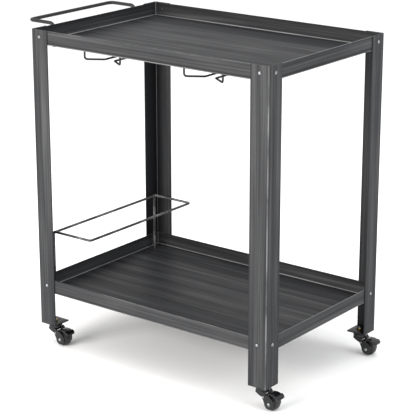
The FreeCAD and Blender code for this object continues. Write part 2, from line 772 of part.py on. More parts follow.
def check_and_write():
    """Stop on any failed object or bad shape, then write each sub-part."""
    doc.recompute()
    for item in doc.Objects:
        if {"Invalid", "Error"} & set(item.State):
            raise RuntimeError(f"{item.Label} is {item.State}")
    for item in parts:
        if item.Shape.isNull() or not item.Shape.isValid():
            raise RuntimeError(f"{item.Label} has a bad shape")
        if item.Shape.Volume <= 0:
            raise RuntimeError(f"{item.Label} has no volume")
    os.makedirs("parts", exist_ok=True)
    for item in parts:
        item.Shape.exportStep(f"parts/{item.Label}.step")
    print(f"{len(parts)} sub-parts written")


def main():
    fill_sheet()
    lv = levels()
    for corner in CORNERS:
        make_leg(corner)
    make_tray("upper_tray", lv["upper"], post_holes=False)
    make_tray("lower_tray", lv["lower"], post_holes=True)
    make_tray_bolts()
    make_handle()
    make_bottle_rail()
    make_rail_screws()
    make_stemware_rack("stemware_rack_left", -1)
    make_stemware_rack("stemware_rack_right", 1)
    make_stem_nuts()
    for corner in CORNERS:
        make_caster_plate(corner)
        make_stem(corner)
        make_race(corner)
        make_balls(corner)
        make_fork(corner)
        make_axle_bolt(corner)
        make_axle_nut(corner)
        make_pedal_pin(corner)
        make_wheel(corner)
        make_pedal(corner)
    check_and_write()


main()
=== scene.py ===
"""Looks of a two-tier bar cart on braked swivel casters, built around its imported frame.

Lengths are in metres, in the frame's own axes: +X to the right, +Y to the back, +Z up.
"""

import json
import logging
import math
from abc import ABC, abstractmethod
from dataclasses import dataclass, field
from enum import Enum
from typing import Sequence

import bmesh
import bpy
from mathutils import Euler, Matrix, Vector

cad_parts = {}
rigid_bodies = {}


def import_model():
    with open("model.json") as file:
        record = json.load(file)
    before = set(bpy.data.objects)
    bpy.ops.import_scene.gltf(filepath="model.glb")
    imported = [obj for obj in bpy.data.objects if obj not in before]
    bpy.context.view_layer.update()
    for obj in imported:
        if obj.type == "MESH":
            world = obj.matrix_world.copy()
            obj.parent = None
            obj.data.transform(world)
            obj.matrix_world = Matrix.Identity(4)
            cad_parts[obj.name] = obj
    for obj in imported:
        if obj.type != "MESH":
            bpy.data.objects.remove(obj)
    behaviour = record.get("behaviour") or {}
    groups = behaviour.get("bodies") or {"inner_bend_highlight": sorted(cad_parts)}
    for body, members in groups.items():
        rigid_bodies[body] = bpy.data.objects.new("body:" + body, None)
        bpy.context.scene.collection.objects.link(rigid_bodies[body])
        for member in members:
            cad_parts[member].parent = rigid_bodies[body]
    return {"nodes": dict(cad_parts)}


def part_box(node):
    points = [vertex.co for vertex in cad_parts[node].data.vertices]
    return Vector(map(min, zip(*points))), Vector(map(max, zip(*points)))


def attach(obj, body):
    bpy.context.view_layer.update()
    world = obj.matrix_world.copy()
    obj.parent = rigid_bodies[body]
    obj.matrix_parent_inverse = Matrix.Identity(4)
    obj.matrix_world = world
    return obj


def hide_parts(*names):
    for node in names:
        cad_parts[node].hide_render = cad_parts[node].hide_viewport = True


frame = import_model()

LOG = logging.getLogger("bar_cart")
MM = 0.001

Colour = tuple[float, float, float]
Socket = bpy.types.NodeSocket
Path = Sequence[Vector]


class Corner(Enum):
    """The cart's four corners: name, side along X, end along Y."""

    FRONT_LEFT = ("front_left", -1, -1)
    FRONT_RIGHT = ("front_right", 1, -1)
    BACK_RIGHT = ("back_right", 1, 1)
    BACK_LEFT = ("back_left", -1, 1)

    @property
    def key(self) -> str:
        """The corner's name, as it ends a node's or a body's name."""
        return self.value[0]

    @property
    def side(self) -> int:
        """Which way the corner lies along X."""
        return self.value[1]

    @property
    def end(self) -> int:
        """Which way the corner lies along Y."""
        return self.value[2]


# ------------------------------------------------------------------ shader building

class Shader:
    """A Principled material under construction, with short calls for the shared nodes."""

    def __init__(self, name: str) -> None:
        """Start an empty material.

        Args:
            name: the material's name.
        """
        self.material = bpy.data.materials.new(name)
        self.material.use_nodes = True
        self.tree = self.material.node_tree
        self.tree.nodes.clear()
        self.surface = self.add("ShaderNodeBsdfPrincipled")
        output = self.add("ShaderNodeOutputMaterial")
        self.tree.links.new(self.surface.outputs["BSDF"], output.inputs["Surface"])
        self.place = self.add("ShaderNodeTexCoord").outputs["Object"]
        split = self.add("ShaderNodeSeparateXYZ")
        self.tree.links.new(self.place, split.inputs[0])
        self.x, self.y, self.z = split.outputs

    def add(self, kind: str) -> bpy.types.Node:
        """Add a node of the given type."""
        return self.tree.nodes.new(kind)

    def feed(self, socket: Socket, value: Socket | float | Colour) -> None:
        """Link a socket to another, or set it to a constant."""
        if isinstance(value, bpy.types.NodeSocket):
            self.tree.links.new(value, socket)
        elif isinstance(value, tuple) and socket.type == "RGBA":
            socket.default_value = (*value, 1.0)
        else:
            socket.default_value = value

    def put(self, **inputs: Socket | float | Colour) -> None:
        """Feed the surface's own sockets, their names written with underscores."""
        for name, value in inputs.items():
            self.feed(self.surface.inputs[name.replace("_", " ")], value)

    def calc(self, operation: str, *terms: Socket | float) -> Socket:
        """The result of a Math node.

        Args:
            operation: the node's operation, such as "MULTIPLY".
            terms: its inputs in order.

        Returns:
            The node's output.
        """
        node = self.add("ShaderNodeMath")
        node.operation = operation
        for socket, term in zip(node.inputs, terms):
            self.feed(socket, term)
        return node.outputs[0]

    def product(self, *terms: Socket | float) -> Socket:
        """All the terms multiplied together."""
        result = terms[0]
        for term in terms[1:]:
            result = self.calc("MULTIPLY", result, term)
        return result

    def largest(self, *terms: Socket) -> Socket:
        """The largest of the terms."""
        result = terms[0]
        for term in terms[1:]:
            result = self.calc("MAXIMUM", result, term)
        return result

    def reach(self, first: Socket, second: Socket) -> Socket:
        """The length of the hypotenuse over two distances."""
        squares = (self.product(first, first), self.product(second, second))
        return self.calc("SQRT", self.calc("ADD", *squares))

    def inward(self, half: float, along: Socket) -> Socket:
        """Distance in from the faces that stand this far out on both sides of an axis."""
        return self.calc("SUBTRACT", half, self.calc("ABSOLUTE", along))

    def fade(self, value: Socket, start: float, stop: float,
             low: float = 0.0, high: float = 1.0) -> Socket:
        """A smooth step of a value.

        Args:
            value: what is read.
            start: where the step begins; may be above stop.
            stop: where the step ends.
            low: the result at start.
            high: the result at stop.

        Returns:
            The step's output.
        """
        node = self.add("ShaderNodeMapRange")
        node.interpolation_type = "SMOOTHSTEP"
        if start > stop:
            start, stop, low, high = stop, start, high, low
        for socket, number in zip(node.inputs, (value, start, stop, low, high)):
            self.feed(socket, number)
        return node.outputs["Result"]

    def noise(self, stretch: Sequence[float], detail: float = 2.0, offset: float = 0.0,
              roughness: float = 0.55, place: Socket | None = None) -> Socket:
        """Noise whose frequency differs by axis.

        Args:
            stretch: cells to a metre along X, Y and Z.
            detail: octaves of finer noise.
            offset: shift of the pattern, so that two of them don't match.
            roughness: strength of the finer octaves.
            place: coordinates other than the object's own.

        Returns:
            The noise's value, about 0.5 in the middle.
        """
        mapping = self.add("ShaderNodeMapping")
        self.feed(mapping.inputs["Vector"], place or self.place)
        mapping.inputs["Location"].default_value = (offset, offset * 1.7, offset * 2.3)
        mapping.inputs["Scale"].default_value = stretch
        node = self.add("ShaderNodeTexNoise")
        self.feed(node.inputs["Vector"], mapping.outputs[0])
        node.inputs["Scale"].default_value = 1.0
        node.inputs["Detail"].default_value = detail
        node.inputs["Roughness"].default_value = roughness
        return node.outputs[0]

    def tones(self, value: Socket, stops: Sequence[tuple[float, Colour]]) -> Socket:
        """A colour ramp.

        Args:
            value: what is read, from 0 to 1.
            stops: places and their colours, in order.

        Returns:
            The ramp's colour.
        """
        node = self.add("ShaderNodeValToRGB")
        self.feed(node.inputs["Fac"], value)
        elements = node.color_ramp.elements
        while len(elements) < len(stops):
            elements.new(0.5)
        for element, (place, colour) in zip(elements, stops):
            element.position = place
            element.color = (*colour, 1.0)
        return node.outputs["Color"]

    def blend(self, share: Socket | float, first: Socket | Colour,
              second: Socket | Colour) -> Socket:
        """A mix of two colours, by the share of the second."""
        node = self.add("ShaderNodeMix")
        node.data_type = "RGBA"
        colours = [s for s in node.inputs if s.type == "RGBA"]
        self.feed(node.inputs[0], share)
        self.feed(colours[0], first)
        self.feed(colours[1], second)
        return next(s for s in node.outputs if s.type == "RGBA")

    def scalar(self, share: Socket, first: Socket | float,
               second: Socket | float) -> Socket:
        """A mix of two numbers, by the share of the second."""
        node = self.add("ShaderNodeMix")
        node.data_type = "FLOAT"
        self.feed(node.inputs[0], share)
        numbers = [s for s in node.inputs if s.type == "VALUE" and s.name in ("A", "B")]
        self.feed(numbers[0], first)
        self.feed(numbers[1], second)
        return node.outputs[0]

    def relief(self, height: Socket, depth: float, strength: float = 1.0) -> None:
        """Give the surface a bump.

        Args:
            height: the height pattern, from 0 to 1.
            depth: the height in metres of a step from 0 to 1.
            strength: share of the effect.
        """
        node = self.add("ShaderNodeBump")
        node.inputs["Strength"].default_value = strength
        node.inputs["Distance"].default_value = depth
        self.feed(node.inputs["Height"], height)
        self.feed(self.surface.inputs["Normal"], node.outputs[0])


# ------------------------------------------------------------------ finishes

class Finish(ABC):
    """A surface finish, which makes its material once."""

    def material(self) -> bpy.types.Material:
        """The finish's material, made on the first call.

        Returns:
            The material, marked as this script's own.
        """
        found = bpy.data.materials.get(self.name)
        if found and found.get("made_here"):
            return found
        shader = Shader(self.name)
        self.dress(shader)
        shader.material["made_here"] = True
        return shader.material

    @abstractmethod
    def dress(self, shader: Shader) -> None:
        """Lay out the finish's nodes."""


@dataclass(frozen=True)
class Charcoal:
    """The charcoal lacquer's tones, from the dark of painted shade and dark edges to the bright of
    worn steel and painted highlight lines.
    """

    # the dark tone of painted shade and of the darker edges
    smoke: Colour = (0.006, 0.0063, 0.0075)
    dark: Colour = (0.013, 0.0137, 0.0158)
    body: Colour = (0.030, 0.0308, 0.0330)
    light: Colour = (0.068, 0.069, 0.070)
    # bare steel where the lacquer is worn, and the tone of painted highlight lines
    steel: Colour = (0.34, 0.34, 0.34)


@dataclass(frozen=True)
class BrushedLacquer(Finish):
    """Charcoal lacquer over brushed steel: streaks, cloudy tone, painted shade, dark edges, and
    bright lines that are partly wear and partly painted highlight.
    """

    name: str = "brushed_lacquer"
    tones: Charcoal = field(default_factory=Charcoal)
    along: float = 2.2
    fine: float = 1100.0
    middle: float = 260.0
    broad: float = 60.0
    shares: tuple[float, ...] = (0.40, 0.34, 0.16, 0.10)

    @abstractmethod
    def streaks(self, shader: Shader, across: float, offset: float) -> Socket:
        """Noise drawn out along the piece, with the given cells to a metre across it."""

    @abstractmethod
    def rubbed(self, shader: Shader) -> Socket:
        """Where the lacquer is worn through to steel or a highlight is painted, from 0 to 1."""

    @abstractmethod
    def smoky(self, shader: Shader) -> Socket:
        """Where shade is painted or edges are darkened, from 0 to 1."""

    def dress(self, shader: Shader) -> None:
        """Lay the streaks, the painted shade and dark edges, and the worn and painted-highlight
        lines over each other.
        """
        broad = self.streaks(shader, self.broad, 3.1)
        middle = self.streaks(shader, self.middle, 7.9)
        fine = self.streaks(shader, self.fine, 1.3)
        cloud = shader.noise((7, 7, 7), detail=3, offset=5.0)
        layers = [shader.product(layer, share)
                  for layer, share in zip((broad, middle, fine, cloud), self.shares)]
        grain = layers[0]
        for layer in layers[1:]:
            grain = shader.calc("ADD", grain, layer)
        tone = shader.tones(grain, [(0.36, self.tones.dark), (0.50, self.tones.body),
                                    (0.64, self.tones.light)])
        smoky = self.smoky(shader)
        rubbed = self.rubbed(shader)
        # painted shade and darker edges mixed into the colour
        tone = shader.blend(smoky, tone, self.tones.smoke)
        # worn steel and painted highlight lines mixed into the colour
        tone = shader.blend(rubbed, tone, self.tones.steel)
        shader.put(Base_Color=tone, Metallic=shader.fade(rubbed, 0.0, 1.0, 0.0, 0.7),
                   Roughness=shader.fade(grain, 0.35, 0.65, 0.58, 0.44),
                   Specular_IOR_Level=0.16)
        ridges = shader.calc("ADD", shader.product(middle, 0.6), shader.product(fine, 0.4))
        shader.relief(ridges, 0.10 * MM, 0.7)


@dataclass(frozen=True)
class LegLacquer(BrushedLacquer):
    """The legs' lacquer: streaks run up the leg, the outer bend is worn bright and partly a
    painted highlight, and shade is painted inside the angle.
    """

    half_x: float = 0.35
    half_y: float = 0.235
    flange: float = 0.05
    bolt_inset: float = 25 * MM
    bolt_levels: tuple[float, ...] = ()

    def streaks(self, shader: Shader, across: float, offset: float) -> Socket:
        """Streaks along Z."""
        return shader.noise((across, across, self.along), offset=offset)

    def from_faces(self, shader: Shader) -> tuple[Socket, Socket]:
        """Distances in from the leg's two outer faces."""
        return shader.inward(self.half_x, shader.x), shader.inward(self.half_y, shader.y)

    def inside(self, shader: Shader) -> Socket:
        """One on the leg's inner faces."""
        nearest = shader.calc("MINIMUM", *self.from_faces(shader))
        return shader.fade(nearest, 0.8 * MM, 1.4 * MM)

    def rubbed(self, shader: Shader) -> Socket:
        """The outer bend, worn in long patches and partly a painted highlight, and a painted
        highlight line down the inner bend.
        """
        distance = shader.calc("ADD", *self.from_faces(shader))
        line = shader.fade(distance, 2.7 * MM, 1.8 * MM)
        patches = shader.fade(shader.noise((20, 20, 9), detail=4, offset=2.0), 0.40, 0.62,
                              0.10, 0.55)
        farthest = shader.calc("MAXIMUM", *self.from_faces(shader))
        # painted highlight down the inner bend
        inner_bend_highlight = shader.product(shader.fade(farthest, 3.6 * MM, 2.6 * MM), self.inside(shader))
        return shader.largest(shader.product(line, patches), shader.product(inner_bend_highlight, 0.5))

    def bolt_rings(self, shader: Shader) -> Socket:
        """Painted shade in rings round the bolt heads."""
        distance = shader.calc("ADD", *self.from_faces(shader))
        across = shader.calc("SUBTRACT", distance, self.bolt_inset)
        rings = []
        for level in self.bolt_levels:
            away = shader.reach(across, shader.calc("SUBTRACT", shader.z, level))
            # painted shade round each bolt head
            rings.append(shader.fade(away, 6.4 * MM, 5.0 * MM))
        return shader.largest(*rings)

    def smoky(self, shader: Shader) -> Socket:
        """Darker along the flanges' edges and beside the bend; painted shade on the inner faces
        and round the bolt heads.
        """
        from_x, from_y = self.from_faces(shader)
        distance = shader.calc("ADD", from_x, from_y)
        # darker along the flanges' free edges and beside the bend
        edge = shader.fade(distance, self.flange - 7 * MM, self.flange - 0.5 * MM)
        beside = shader.product(shader.fade(distance, 9 * MM, 4 * MM),
                                shader.fade(distance, 2.5 * MM, 4 * MM))
        ragged = shader.fade(self.streaks(shader, 500, 9.0), 0.3, 0.7, 0.45, 1.0)
        outer = shader.product(shader.largest(edge, shader.product(beside, 0.5)), ragged, 0.8)
        # painted shade on the inner faces, deepest on the end faces and near the bend
        on_end_face = shader.fade(from_x, 3.4 * MM, 2.6 * MM)
        near_bend = shader.fade(from_x, 40 * MM, 8 * MM, 0.15, 0.85)
        inner = shader.product(shader.largest(on_end_face, near_bend), self.inside(shader))
        return shader.largest(outer, shader.product(inner, 0.9),
                              shader.product(self.bolt_rings(shader), 0.9))


@dataclass(frozen=True)
class TrayLacquer(BrushedLacquer):
    """A tray's lacquer: streaks run along each wall, folds carry bright lines that are partly wear
    and partly painted highlight, and shade is painted on the floor and walls.
    """

    level: float = 0.772
    half_x: float = 0.348
    half_y: float = 0.233
    sheet: float = 1.8 * MM
    wall: float = 35 * MM
    # strength of the painted shade at the foot of the outer walls
    lowest_shade: float = 0.6

    def streaks(self, shader: Shader, across: float, offset: float) -> Socket:
        """Streaks along X, and along Y on the two end walls."""
        long_way = shader.noise((self.along, across, across), offset=offset)
        end_wall = shader.noise((across, self.along, across), offset=offset)
        inward = shader.inward(self.half_x, shader.x)
        on_end = shader.fade(inward, self.sheet + 0.5 * MM, self.sheet + 0.2 * MM)
        return shader.scalar(on_end, long_way, end_wall)

    def from_walls(self, shader: Shader) -> list[Socket]:
        """Distances in from the walls' inner faces, along X and along Y."""
        return [shader.inward(self.half_x - self.sheet, shader.x),
                shader.inward(self.half_y - self.sheet, shader.y)]

    def rubbed(self, shader: Shader) -> Socket:
        """Bright lines, partly wear and partly painted highlight, at the fold at the foot of each
        wall, the inner corners and the top rim, with a painted highlight on the right end's rim.
        """
        up = shader.calc("SUBTRACT", shader.z, self.level + self.sheet)
        lines, corners = [], []
        for inward in self.from_walls(shader):
            lines.append(shader.fade(shader.reach(inward, up), 2.6 * MM, 1.0 * MM))
            inside = shader.fade(inward, -0.6 * MM, -0.2 * MM)
            corners.append(shader.product(shader.fade(inward, 1.7 * MM, 1.0 * MM), inside))
        corner = shader.product(*corners, 0.6)
        worn = shader.fade(shader.noise((6, 6, 6), detail=3, offset=4.0), 0.35, 0.65, 0.42, 0.75)
        rim = shader.fade(shader.z, self.level + self.wall - 0.5 * MM,
                          self.level + self.wall - 0.1 * MM)
        chipped = shader.fade(shader.noise((14, 14, 14), detail=4, offset=8.0), 0.45, 0.65,
                              0.05, 0.4)
        # painted highlight on the top rim of the right end wall
        right_rim_highlight = shader.fade(shader.x, self.half_x - 1.2 * MM, self.half_x - 0.4 * MM,
                                 0.0, 0.6)
        return shader.largest(shader.product(shader.largest(*lines), worn), corner,
                              shader.product(rim, shader.largest(chipped, right_rim_highlight)))

    def smoky(self, shader: Shader) -> Socket:
        """Painted shade: the foot of the walls' outsides, the top of their insides and the floor,
        in bands.
        """
        up = shader.calc("SUBTRACT", shader.z, self.level)
        # painted shade at the foot of the outer walls
        low = shader.product(shader.fade(up, 11 * MM, 6 * MM), self.lowest_shade)
        outside, inside = [], []
        for inward in self.from_walls(shader):
            outside.append(shader.fade(inward, -0.6 * MM, -1.2 * MM))
            inside.append(shader.fade(inward, 0.9 * MM, 0.3 * MM))
        out = shader.largest(*outside)
        wall = shader.product(shader.largest(*inside), shader.calc("SUBTRACT", 1.0, out))
        # painted shade deepening towards the top of the inner walls
        high = shader.fade(up, 12 * MM, self.wall + 4 * MM, 0.0, 0.8)
        # painted shade on the floor, in bands
        floor = shader.fade(up, self.sheet + 0.6 * MM, self.sheet + 0.1 * MM)
        bands = shader.fade(shader.noise((1.4, 34, 34), detail=3, offset=6.0), 0.42, 0.62,
                            0.35, 0.85)
        return shader.largest(shader.product(low, out), shader.product(wall, high),
                              shader.product(floor, bands))


@dataclass(frozen=True)
class RodLacquer(Finish):
    """Satin lacquer on round bar, mottled, and rubbed through in places."""

    name: str = "rod_lacquer"
    body: Colour = (0.009, 0.0095, 0.011)
    bare: Colour = (0.07, 0.07, 0.074)
    wear: tuple[float, float] = (0.60, 0.78)
    gloss: float = 0.38
    metal: float = 0.0

    def dress(self, shader: Shader) -> None:
        """Mottle the lacquer with long and short noise."""
        long_marks = shader.noise((26, 26, 26), detail=5, offset=1.0, roughness=0.65)
        pores = shader.noise((900, 900, 900), detail=2, offset=3.0)
        share = shader.fade(long_marks, *self.wear)
        shader.put(Base_Color=shader.blend(share, self.body, self.bare), Metallic=self.metal,
                   Roughness=shader.fade(pores, 0.3, 0.7, self.gloss, self.gloss + 0.14),
                   Specular_IOR_Level=0.28)
        shader.relief(pores, 0.04 * MM, 0.5)


@dataclass(frozen=True)
class PlatedSteel(Finish):
    """Plated steel with a faint cloud, fine turning marks and dull spots."""

    name: str = "bright_zinc"
    body: Colour = (0.26, 0.265, 0.28)
    dull: Colour = (0.14, 0.143, 0.15)
    gloss: float = 0.30

    def dress(self, shader: Shader) -> None:
        """Cloud the plate and roughen its dull spots."""
        cloud = shader.noise((240, 240, 240), detail=4, offset=1.5, roughness=0.6)
        marks = shader.noise((2600, 2600, 2600), detail=2, offset=6.5)
        share = shader.fade(cloud, 0.48, 0.72)
        shader.put(Base_Color=shader.blend(share, self.body, self.dull), Metallic=1.0,
                   Roughness=shader.fade(cloud, 0.35, 0.75, self.gloss, self.gloss + 0.25))
        shader.relief(marks, 0.02 * MM, 0.5)


@dataclass(frozen=True)
class GlossMoulding(Finish):
    """Gloss black moulding with a faint ripple, dust and scuffs."""

    name: str = "gloss_moulding"
    body: Colour = (0.005, 0.0054, 0.0064)
    dust: Colour = (0.022, 0.023, 0.025)
    gloss: float = 0.12

    def dress(self, shader: Shader) -> None:
        """Ripple the gloss and dull it where dust lies."""
        ripple = shader.noise((420, 420, 420), detail=1, offset=2.5)
        scuffs = shader.noise((130, 130, 520), detail=5, offset=7.5, roughness=0.7)
        share = shader.fade(scuffs, 0.55, 0.8, 0.0, 0.7)
        shader.put(Base_Color=shader.blend(share, self.body, self.dust),
                   Roughness=shader.fade(scuffs, 0.45, 0.8, self.gloss, self.gloss + 0.28),
                   Specular_IOR_Level=0.42)
        shader.relief(ripple, 0.05 * MM, 0.35)


@dataclass(frozen=True)
class WheelRubber(Finish):
    """Smooth dark wheel: turned rings on the sides, and dust where it rolls."""

    name: str = "wheel_rubber"
    body: Colour = (0.010, 0.010, 0.0115)
    dust: Colour = (0.045, 0.044, 0.042)
    radius: float = 17.5 * MM

    def dress(self, shader: Shader) -> None:
        """Read the distance from the axle, which the wheel's mesh carries."""
        reader = shader.add("ShaderNodeAttribute")
        reader.attribute_name = "from_axle"
        away = reader.outputs["Fac"]
        grime = shader.noise((380, 380, 380), detail=5, offset=3.5, roughness=0.7)
        tread = shader.fade(away, self.radius - 2.2 * MM, self.radius - 0.2 * MM)
        share = shader.product(tread, shader.fade(grime, 0.40, 0.66, 0.05, 0.55))
        rings = shader.calc("SINE", shader.product(away, math.tau / (0.55 * MM)))
        sides = shader.fade(away, self.radius - 2.5 * MM, self.radius - 4 * MM)
        height = shader.calc("ADD", shader.product(rings, sides, 0.35), grime)
        shader.put(Base_Color=shader.blend(share, self.body, self.dust),
                   Roughness=shader.fade(grime, 0.3, 0.7, 0.30, 0.48),
                   Specular_IOR_Level=0.35)
        shader.relief(height, 0.03 * MM, 0.6)


# ------------------------------------------------------------------ mesh building

def new_object(name: str, mesh: bpy.types.Mesh) -> bpy.types.Object:
    """Put a mesh in the scene as an object at the origin."""
    piece = bpy.data.objects.new(name, mesh)
    bpy.context.scene.collection.objects.link(piece)
    return piece


def mesh_of_paths(name: str, paths: Sequence[Path]) -> bpy.types.Mesh:
    """A mesh of bare edges, one open chain to each path."""
    points: list[Vector] = []
    edges: list[tuple[int, int]] = []
    for path in paths:
        first = len(points)
        points.extend(path)
        edges.extend((first + i, first + i + 1) for i in range(len(path) - 1))
    mesh = bpy.data.meshes.new(name)
    mesh.from_pydata(points, edges, [])
    return mesh


def shade_by_angle(mesh: bpy.types.Mesh, limit: float = math.radians(32)) -> None:
    """Smooth a mesh's shading, except over edges sharper than the limit."""
    mesh.polygons.foreach_set("use_smooth", [True] * len(mesh.polygons))
    mesh.set_sharp_from_angle(angle=limit)
    mesh.update()


def softened(node: str, name: str, width: float, segments: int) -> bpy.types.Object:
    """A copy of a node's mesh with its sharp edges rolled over, standing for the node.

    Args:
        node: the node that is copied.
        name: the new piece's name.
        width: how far each rolled edge reaches from the sharp one.
        segments: faces across a rolled edge.

    Returns:
        The piece, which replaces the node.
    """
    shape = bmesh.new()
    shape.from_mesh(frame["nodes"][node].data)
    bmesh.ops.remove_doubles(shape, verts=shape.verts, dist=0.005 * MM)
    bmesh.ops.dissolve_limit(shape, angle_limit=math.radians(0.8), verts=shape.verts,
                             edges=shape.edges)
    sharp = [edge for edge in shape.edges
             if edge.is_manifold and edge.calc_face_angle(0.0) > math.radians(40)]
    bmesh.ops.bevel(shape, geom=sharp, offset=width, offset_type="OFFSET",
                    segments=segments, profile=0.5, affect="EDGES", clamp_overlap=True)
    bmesh.ops.triangulate(shape, faces=[f for f in shape.faces if len(f.verts) > 4])
    mesh = bpy.data.meshes.new(name)
    shape.to_mesh(mesh)
    shape.free()
    shade_by_angle(mesh)
    piece = new_object(name, mesh)
    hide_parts(node)
    return piece


def turned(name: str, profile: Sequence[tuple[float, float]], centre: Vector,
           steps: int = 96) -> bpy.types.Mesh:
    """A closed solid turned about an axis along Y.

    Args:
        name: the mesh's name.
        profile: distances from the axis and places along it, from one end to the other.
        centre: the axis's middle.
        steps: faces round the axis.

    Returns:
        The mesh, which carries each point's distance from the axis as from_axle.
    """
    shape = bmesh.new()
    rings = []
    for away, along in profile:
        rings.append([shape.verts.new(centre + Vector((away * math.cos(turn), along,
                                                       away * math.sin(turn))))
                      for turn in (math.tau * i / steps for i in range(steps))])
    for first, second in zip(rings, rings[1:] + rings[:1]):
        for i in range(steps):
            j = (i + 1) % steps
            shape.faces.new((first[i], first[j], second[j], second[i]))
    bmesh.ops.recalc_face_normals(shape, faces=shape.faces)
    mesh = bpy.data.meshes.new(name)
    shape.to_mesh(mesh)
    shape.free()
    distances = mesh.attributes.new("from_axle", "FLOAT", "POINT")
    distances.data.foreach_set(
        "value", [math.hypot(v.co.x - centre.x, v.co.z - centre.z) for v in mesh.vertices])
    shade_by_angle(mesh)
    return mesh


# ------------------------------------------------------------------ geometry node recipes

class Recipe(ABC):
    """A Geometry Nodes tree with named inputs, run once on a mesh of paths."""

    title: str = "recipe"
    sizes: dict[str, float] = {}

    def __init__(self) -> None:
        """Make the tree and its named inputs."""
        self.tree = bpy.data.node_groups.new(self.title, "GeometryNodeTree")
        face = self.tree.interface
        face.new_socket("Geometry", in_out="INPUT", socket_type="NodeSocketGeometry")
        face.new_socket("Geometry", in_out="OUTPUT", socket_type="NodeSocketGeometry")
        self.ids = {}
        for name, value in self.sizes.items():
            kind = "NodeSocketInt" if isinstance(value, int) else "NodeSocketFloat"
            socket = face.new_socket(name, in_out="INPUT", socket_type=kind)
            socket.default_value = value
            self.ids[name] = socket.identifier
        finish = face.new_socket("Finish", in_out="INPUT", socket_type="NodeSocketMaterial")
        self.ids["Finish"] = finish.identifier
        self.given = self.add("NodeGroupInput").outputs
        shape = self.shape(self.given["Geometry"])
        shape = self.run("GeometryNodeRealizeInstances", shape)
        shape = self.run("GeometryNodeSetShadeSmooth", shape)
        dressed = self.add("GeometryNodeSetMaterial")
        self.join(shape, dressed.inputs["Geometry"])
        self.join(self.given["Finish"], dressed.inputs["Material"])
        self.join(dressed.outputs[0], self.add("NodeGroupOutput").inputs[0])

    def add(self, kind: str, **settings: str) -> bpy.types.Node:
        """Add a node and set its own options."""
        node = self.tree.nodes.new(kind)
        for name, value in settings.items():
            setattr(node, name, value)
        return node

    def join(self, source: Socket, target: Socket) -> None:
        """Link two sockets."""
        self.tree.links.new(source, target)

    def run(self, kind: str, geometry: Socket) -> Socket:
        """Pass geometry through a node with no other settings."""
        node = self.add(kind)
        self.join(geometry, node.inputs[0])
        return node.outputs[0]

    def calc(self, operation: str, *terms: Socket | float) -> Socket:
        """The result of a Math node."""
        node = self.add("ShaderNodeMath", operation=operation)
        for socket, term in zip(node.inputs, terms):
            if isinstance(term, bpy.types.NodeSocket):
                self.join(term, socket)
            else:
                socket.default_value = term
        return node.outputs[0]

    def ring(self, sides: Socket | int, radius: Socket) -> Socket:
        """A circle of the given number of sides."""
        circle = self.add("GeometryNodeCurvePrimitiveCircle", mode="RADIUS")
        for socket, value in ((circle.inputs["Resolution"], sides),
                              (circle.inputs["Radius"], radius)):
            if isinstance(value, bpy.types.NodeSocket):
                self.join(value, socket)
            else:
                socket.default_value = value
        return circle.outputs[0]

    def sweep(self, curve: Socket, section: Socket) -> bpy.types.Node:
        """Run a section along a curve."""
        node = self.add("GeometryNodeCurveToMesh")
        self.join(curve, node.inputs["Curve"])
        self.join(section, node.inputs["Profile Curve"])
        return node

    @abstractmethod
    def shape(self, paths: Socket) -> Socket:
        """Turn the paths into the piece's geometry."""

    def make(self, name: str, paths: Sequence[Path], finish: Finish,
             **sizes: float) -> bpy.types.Object:
        """Run the tree on the paths.

        Args:
            name: the new piece's name.
            paths: the chains of points that the piece follows.
            finish: the finish that it takes.
            sizes: values for the tree's named inputs, written with underscores.

        Returns:
            The piece as a plain mesh at the origin.
        """
        source = new_object(name + "_paths", mesh_of_paths(name + "_paths", paths))
        modifier = source.modifiers.new("recipe", "NODES")
        modifier.node_group = self.tree
        for key, value in sizes.items():
            modifier[self.ids[key.replace("_", " ")]] = value
        modifier[self.ids["Finish"]] = finish.material()
        graph = bpy.context.evaluated_depsgraph_get()
        mesh = bpy.data.meshes.new_from_object(source.evaluated_get(graph))
        mesh.name = name
        source.modifiers.clear()
        bpy.data.objects.remove(source)
        return new_object(name, mesh)


class RoundBar(Recipe):
    """Round bar along each path, bent at its corners."""

    title = "round_bar"
    sizes = {"Bar Radius": 4.5 * MM, "Bend Radius": 13 * MM, "Bend Steps": 12,
             "Sides": 32}

    def shape(self, paths: Socket) -> Socket:
        """Round the corners and sweep a circle along the result."""
        bent = self.add("GeometryNodeFilletCurve", mode="POLY")
        self.join(self.run("GeometryNodeMeshToCurve", paths), bent.inputs["Curve"])
        self.join(self.given["Bend Steps"], bent.inputs["Count"])
        self.join(self.given["Bend Radius"], bent.inputs["Radius"])
        section = self.ring(self.given["Sides"], self.given["Bar Radius"])
        sweep = self.sweep(bent.outputs[0], section)
        sweep.inputs["Fill Caps"].default_value = True
        return sweep.outputs[0]


